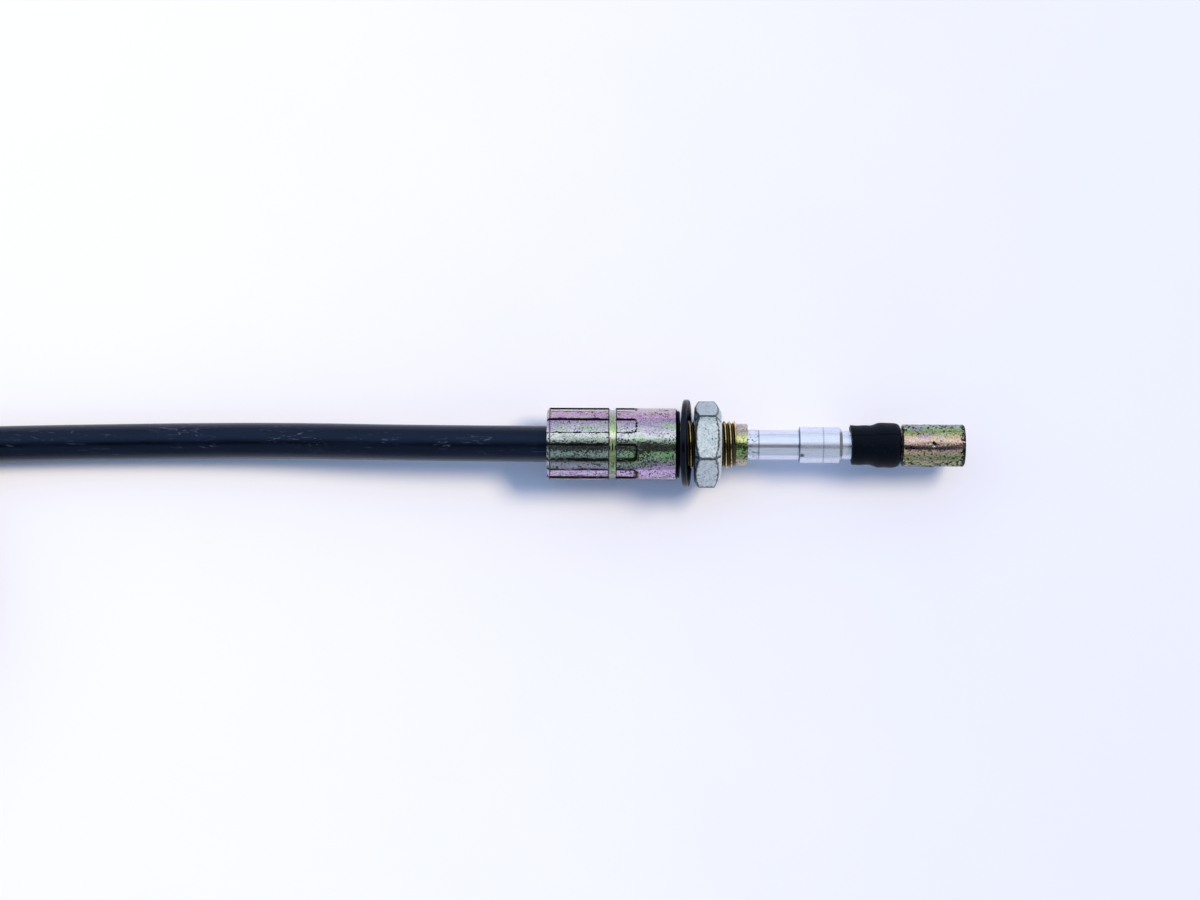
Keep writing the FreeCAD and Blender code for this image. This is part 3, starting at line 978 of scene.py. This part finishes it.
def drawnAluminium(place, tag):
    material, shader, here = startFinish("drawnAluminium" + tag, place)
    x = here.axes("X")[0]
    lines = here.stretch((0.12, 5.0, 5.0)).noise(1.0, 4, 0.7)
    blotch = here.noise(0.5, 3, 0.6)
    hue = lines.step(0.3, 0.7).blend(colour(210, 216, 232), colour(228, 232, 246))
    hue = blotch.step(0.5, 0.75, 0, 0.3).blend(hue, colour(190, 198, 220))
    # the band where the tube is staked into the nose, and the turned lines, punch and rim
    noseEnd, lineAt = ferrule["noseEnd"], tube["lineAt"]
    band = x.step(noseEnd - 0.1, noseEnd + 0.2) * x.step(lineAt + 0.3, lineAt)
    marks = here.stretch((1.2, 1.8, 1.8)).noise(1.3, 2, 0.7).step(0.57, 0.63) * band
    scribed = abs(x - (lineAt + tube["lineWidth"] / 2)).step(0.22, 0.08) * 0.6
    shoulder = abs(x - bush["start"]).step(0.25, 0.10) * 0.8
    turned = abs(x - (bush["lineAt"] + bush["lineWidth"] / 2)).step(0.25, 0.10) * 0.35
    punch = math.radians(bush["punchAngle"])
    punchPlace = (bush["punchAt"], bush["radius"] * math.sin(punch), bush["radius"] * math.cos(punch))
    spot = here.add("ShaderNodeVectorMath", {"operation": "DISTANCE"}, {0: here, 1: punchPlace}, 1)
    spot = spot.step(0.75, 0.35) * 0.8
    end = bush["end"]
    # painted shade: the bush's end chamfer is darkened
    rim = (x - (end - bush["chamfer"])).step(0.0, 0.1) * (end + 0.02 - x).step(0.0, 0.05) * 0.35
    dark = most(marks, scribed, shoulder, turned, spot, rim)
    hue = dark.blend(hue, colour(74, 78, 96))
    # the bush is turned and duller than the drawn tube
    onBush = x.step(bush["start"] - 0.1, bush["start"] + 0.1)
    rough = blotch.step(0.3, 0.7, 0.12, 0.18) + onBush * 0.12
    connect(shader, {"Base Color": hue, "Metallic": 0.75, "Roughness": rough,
                     "Normal": bump(lines - marks, 0.06, 0.03)})
    return material


def brightSteel(place, tag):
    material, shader, here = startFinish("brightSteel" + tag, place)
    rings = here.stretch((9.0, 0.3, 0.3)).noise(1.0, 3, 0.6)
    hue = rings.step(0.3, 0.7).blend(colour(186, 188, 192), colour(214, 215, 220))
    connect(shader, {"Base Color": hue, "Metallic": 1.0, "Roughness": rings.step(0.3, 0.7, 0.14, 0.26),
                     "Normal": bump(rings, 0.08, 0.02)})
    return material


def blackRubber(place, tag):
    material, shader, here = startFinish("blackRubber" + tag, place)
    skin = here.noise(2.2, 4, 0.65)
    scuffs = here.stretch((0.6, 2.0, 2.0)).noise(1.6, 3, 0.7).step(0.64, 0.74)
    hue = skin.step(0.35, 0.7).blend(colour(2, 3, 8), colour(6, 9, 18))
    hue = (scuffs * 0.3).blend(hue, colour(50, 58, 78))
    connect(shader, {"Base Color": hue, "IOR": 1.23, "Specular Tint": (0.5, 0.68, 1.0, 1),
                     "Roughness": skin.step(0.3, 0.7, 0.42, 0.62), "Normal": bump(skin, 0.3, 0.05)})
    return material


def blackGloss(place, tag):
    material, shader, here = startFinish("blackGloss" + tag, place)
    wear = here.noise(1.2, 4, 0.7)
    # the faces are turned in fine rings, the rim is smooth
    y, z = here.axes("YZ")
    y = y - washer["aside"]
    z = z - washerHeight()
    reach = (y * y + z * z).sum("SQRT")
    onFace = reach.step(washer["radius"] - 0.12, washer["radius"] - 0.35)
    rings = (reach * 9.0).sum("SINE") * 0.5 + (reach * 3.7).sum("SINE") * 0.5
    hue = wear.step(0.5, 0.8).blend(colour(3, 4, 10), colour(8, 11, 22))
    connect(shader, {"Base Color": hue, "Metallic": 0.0, "IOR": 1.34, "Specular Tint": (0.6, 0.72, 1.0, 1),
                     "Roughness": wear.step(0.3, 0.7, 0.10, 0.18) + onFace * 0.4,
                     "Normal": bump(rings * onFace + wear, 0.4, 0.05)})
    return material


def conduitPlastic():
    material, shader, here = startFinish("conduitPlastic", nearPlace)
    drag = here.stretch((0.05, 0.9, 0.9)).noise(1.0, 4, 0.65)
    scratch = here.stretch((0.10, 2.6, 2.6)).noise(1.6, 2, 0.7, 0.6).step(0.66, 0.72)
    # most of the scratches are away from the fitting
    x = here.axes("X")[0]
    where = here.stretch((0.05, 0.2, 0.2)).noise(1.0, 2) + x.step(-80, -100) * 0.07
    hair = here.stretch((0.13, 0.8, 0.8)).noise(1.0, 1, 0.5, 0.5) - 0.5
    hair = abs(hair).step(0.016, 0.005)
    hair = hair * here.stretch((0.15, 0.5, 0.5)).noise(1.0, 2, 0.6).step(0.53, 0.58) * 0.6
    scratch = most(scratch, hair) * where.step(0.49, 0.60)
    hue = drag.step(0.35, 0.7).blend(colour(3, 6, 14), colour(6, 12, 30))
    hue = (scratch * 0.5).blend(hue, colour(112, 120, 142))
    rough = drag.step(0.3, 0.7, 0.22, 0.36) + scratch * 0.3
    connect(shader, {"Base Color": hue, "IOR": 1.43, "Specular Tint": (0.38, 0.56, 1.0, 1),
                     "Roughness": rough, "Normal": bump(drag - scratch * 0.5, 0.12, 0.06)})
    return material


def nylon(name, dark, light):
    material, shader, here = startFinish(name, nearPlace)
    skin = here.noise(1.8, 4, 0.6)
    hue = skin.step(0.3, 0.7).blend(dark, light)
    connect(shader, {"Base Color": hue, "Roughness": skin.step(0.3, 0.7, 0.4, 0.6),
                     "Normal": bump(skin, 0.2, 0.05)})
    return material


# the far barrel stands out by the rod's travel
farX, farY, farZ = farPlace["location"]
farBarrel = {"location": (farX - rodOut * mm, farY, farZ), "turn": farPlace["turn"]}
barrelPlace = {"Near": nearPlace, "Far": farBarrel}
finishes = {}
for tag, place in (("Near", nearPlace), ("Far", farPlace)):
    finishes[tag] = {
        "barrel": barrelYellowZinc(barrelPlace[tag], tag),
        "zinc_yellow": yellowZinc(place, tag),
        "zinc_clear": clearZinc(place, tag),
        "aluminium": drawnAluminium(place, tag),
        "bright_steel": brightSteel(place, tag),
        "rubber": blackRubber(place, tag),
        "black_washer": blackGloss(place, tag),
    }
plain = {
    "conduit_black": conduitPlastic(),
    "tie_black": nylon("tieNylon", colour(14, 15, 18), colour(26, 27, 32)),
    "liner_white": nylon("linerPlastic", colour(205, 204, 196), colour(232, 231, 224)),
}
print("finishes made")


def paint(piece, material):
    piece.data.materials.clear()
    piece.data.materials.append(material)


# every new piece stands for its CAD node and moves with its body

fittingPieces = [
    (nearFerrule, "ferrule", "body", "zinc_yellow", 0),
    (nearSealRing, "seal_ring", "body", "rubber", 0),
    (nearWasher, "panel_washer", "washer", "black_washer", 0),
    (nearNut, "hex_nut", "nut", "zinc_clear", 0),
    (nearGuideTube, "guide_tube", "body", "aluminium", 0),
    (nearRodBush, "rod_bush", "body", "aluminium", 0),
    (nearBoot, "wiper_boot", "body", "rubber", 0),
    (nearRod, "push_rod", "rod", "bright_steel", rodOut),
    (nearBarrel, "end_barrel", "rod", "zinc_yellow", rodOut),  # in its own zinc
]
farPieces = []
for piece, node, body, slotName, out in fittingPieces:
    far = copyOf(piece, piece.name.replace("near", "far"))
    far.data.transform(Matrix.Translation((out * mm, 0, 0)))
    far.data.transform(Matrix.Translation(farPlace["location"]) @ Matrix.Rotation(farPlace["turn"], 4, "Z"))
    finish = "barrel" if piece is nearBarrel else slotName
    paint(piece, finishes["Near"][finish])
    paint(far, finishes["Far"][finish])
    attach(piece, body)
    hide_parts(node)
    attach(far, body if body == "body" else "far_" + body)
    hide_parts("far_" + node)
    farPieces.append(far)

paint(conduitCord, plain["conduit_black"])
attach(conduitCord, "body")
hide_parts("conduit", "conduit_hank", "conduit_tail")
for piece in (nearTie, farTie):
    paint(piece, plain["tie_black"])
    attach(piece, "body")
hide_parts("hank_ties")
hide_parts("hank_ties")

# hidden CAD pieces keep their shape and get a finish
hiddenSlots = {
    "jacket_end": "conduit_black", "armour_wires": "bright_steel", "inner_liner": "liner_white",
    "core_wire": "bright_steel",
}
hiddenFar = []
for name, slotName in hiddenSlots.items():
    for prefix, tag in (("", "Near"), ("far_", "Far")):
        node = nodes[prefix + name]
        node.data.materials.clear()
        node.data.materials.append(plain.get(slotName) or finishes[tag][slotName])
        if prefix:
            hiddenFar.append(node)

farPieces + hiddenFar + [nearTie, farTie]
print("pieces ride on their bodies")


# floor and light

floor = {"size": 6.0, "paintedLightLeft": (249, 248, 250), "paintedShadeRight": (228, 230, 242)}


def makeFloor():
    deselect()
    bpy.ops.mesh.primitive_plane_add(size=floor["size"], location=(0, 0, floorHeight * mm))
    plane = bpy.context.object
    plane.name = plane.data.name = "tableTop"
    material, shader, here = startFinish("tableSurface", nearPlace)
    x = here.axes("X")[0]
    # painted light: the table is paler on the left and darker and bluer to the right
    across = x + (here.noise(0.02, 3, 0.5) - 0.5) * 60
    hue = across.step(-190, 150).blend(colour(*floor["paintedLightLeft"]), colour(*floor["paintedShadeRight"]))
    connect(shader, {"Base Color": hue, "Roughness": 0.7})
    plane.data.materials.append(material)


studio = {
    "panels": [
        (-90, 0.55), (-30, 0.5), (-10, 0.5), (10, 0.7), (20, 1.15),
        (38, 1.1), (55, 1.0), (70, 0.9), (90, 0.6),
    ],
    "gap": (-23, 2), "gapReach": 0.3,
    "fillTint": (0.55, 0.75, 1.14), "glossTint": (0.80, 0.89, 1.0),
    "strength": 1.08, "backdrop": (0.84, 0.87, 0.92, 1),
    "keyPlace": (2.8, 1.6, 4.2), "keySize": (2.0, 1.3), "keyPower": 250, "keyHue": (0.98, 0.79, 0.53),
    "keyAim": (-0.02, 0, 0),
}


def addKeyLight():
    lamp = bpy.data.lights.new("keyLight", "AREA")
    lamp.shape = "RECTANGLE"
    lamp.size, lamp.size_y = studio["keySize"]
    lamp.energy = studio["keyPower"]
    lamp.color = studio["keyHue"]
    light = bpy.data.objects.new("keyLight", lamp)
    bpy.context.scene.collection.objects.link(light)
    light.location = studio["keyPlace"]
    aim = Vector(studio["keyAim"]) - light.location
    light.rotation_euler = aim.to_track_quat("-Z", "Y").to_euler()
    light.visible_glossy = False  # gloss comes from the studio's panels


def studioWorld():
    # two long soft panels along the cable, and a dark patch between them, almost overhead
    world = bpy.data.worlds.new("studio")
    bpy.context.scene.world = world
    world.use_nodes = True
    background = world.node_tree.nodes["Background"]
    direction = Wire(world.node_tree.nodes.new("ShaderNodeTexCoord").outputs["Generated"])
    x, y, z = direction.axes("XYZ")
    side = y.sum("ARCTAN2", most(z, 0)) * (180 / math.pi)
    stops = [((degrees + 90) / 180, (level, level, level)) for degrees, level in studio["panels"]]
    level = side.add("ShaderNodeValToRGB", {"stops": stops}, {0: side / 180 + 0.5})
    start, end = studio["gap"]
    gap = side.step(start - 1.5, start + 1.5) * side.step(end + 1.5, end - 1.5)
    gap = gap * abs(x).step(studio["gapReach"] + 0.1, studio["gapReach"] - 0.1)
    level = gap.blend(level, (0, 0, 0, 1))
    # the fill that reaches dull surfaces is a cooler blue than what gloss shows
    path = world.node_tree.nodes.new("ShaderNodeLightPath")
    sky = Wire(path.outputs["Is Glossy Ray"]).blend((*studio["fillTint"], 1), (*studio["glossTint"], 1))
    sky = Wire(path.outputs["Is Camera Ray"]).blend(sky.stretch(level), studio["backdrop"])
    world.node_tree.links.new(sky.socket, background.inputs["Color"])
    background.inputs["Strength"].default_value = studio["strength"]


makeFloor()
addKeyLight()
studioWorld()
bpy.context.scene.view_settings.view_transform = "Standard"
print("floor and lights set")

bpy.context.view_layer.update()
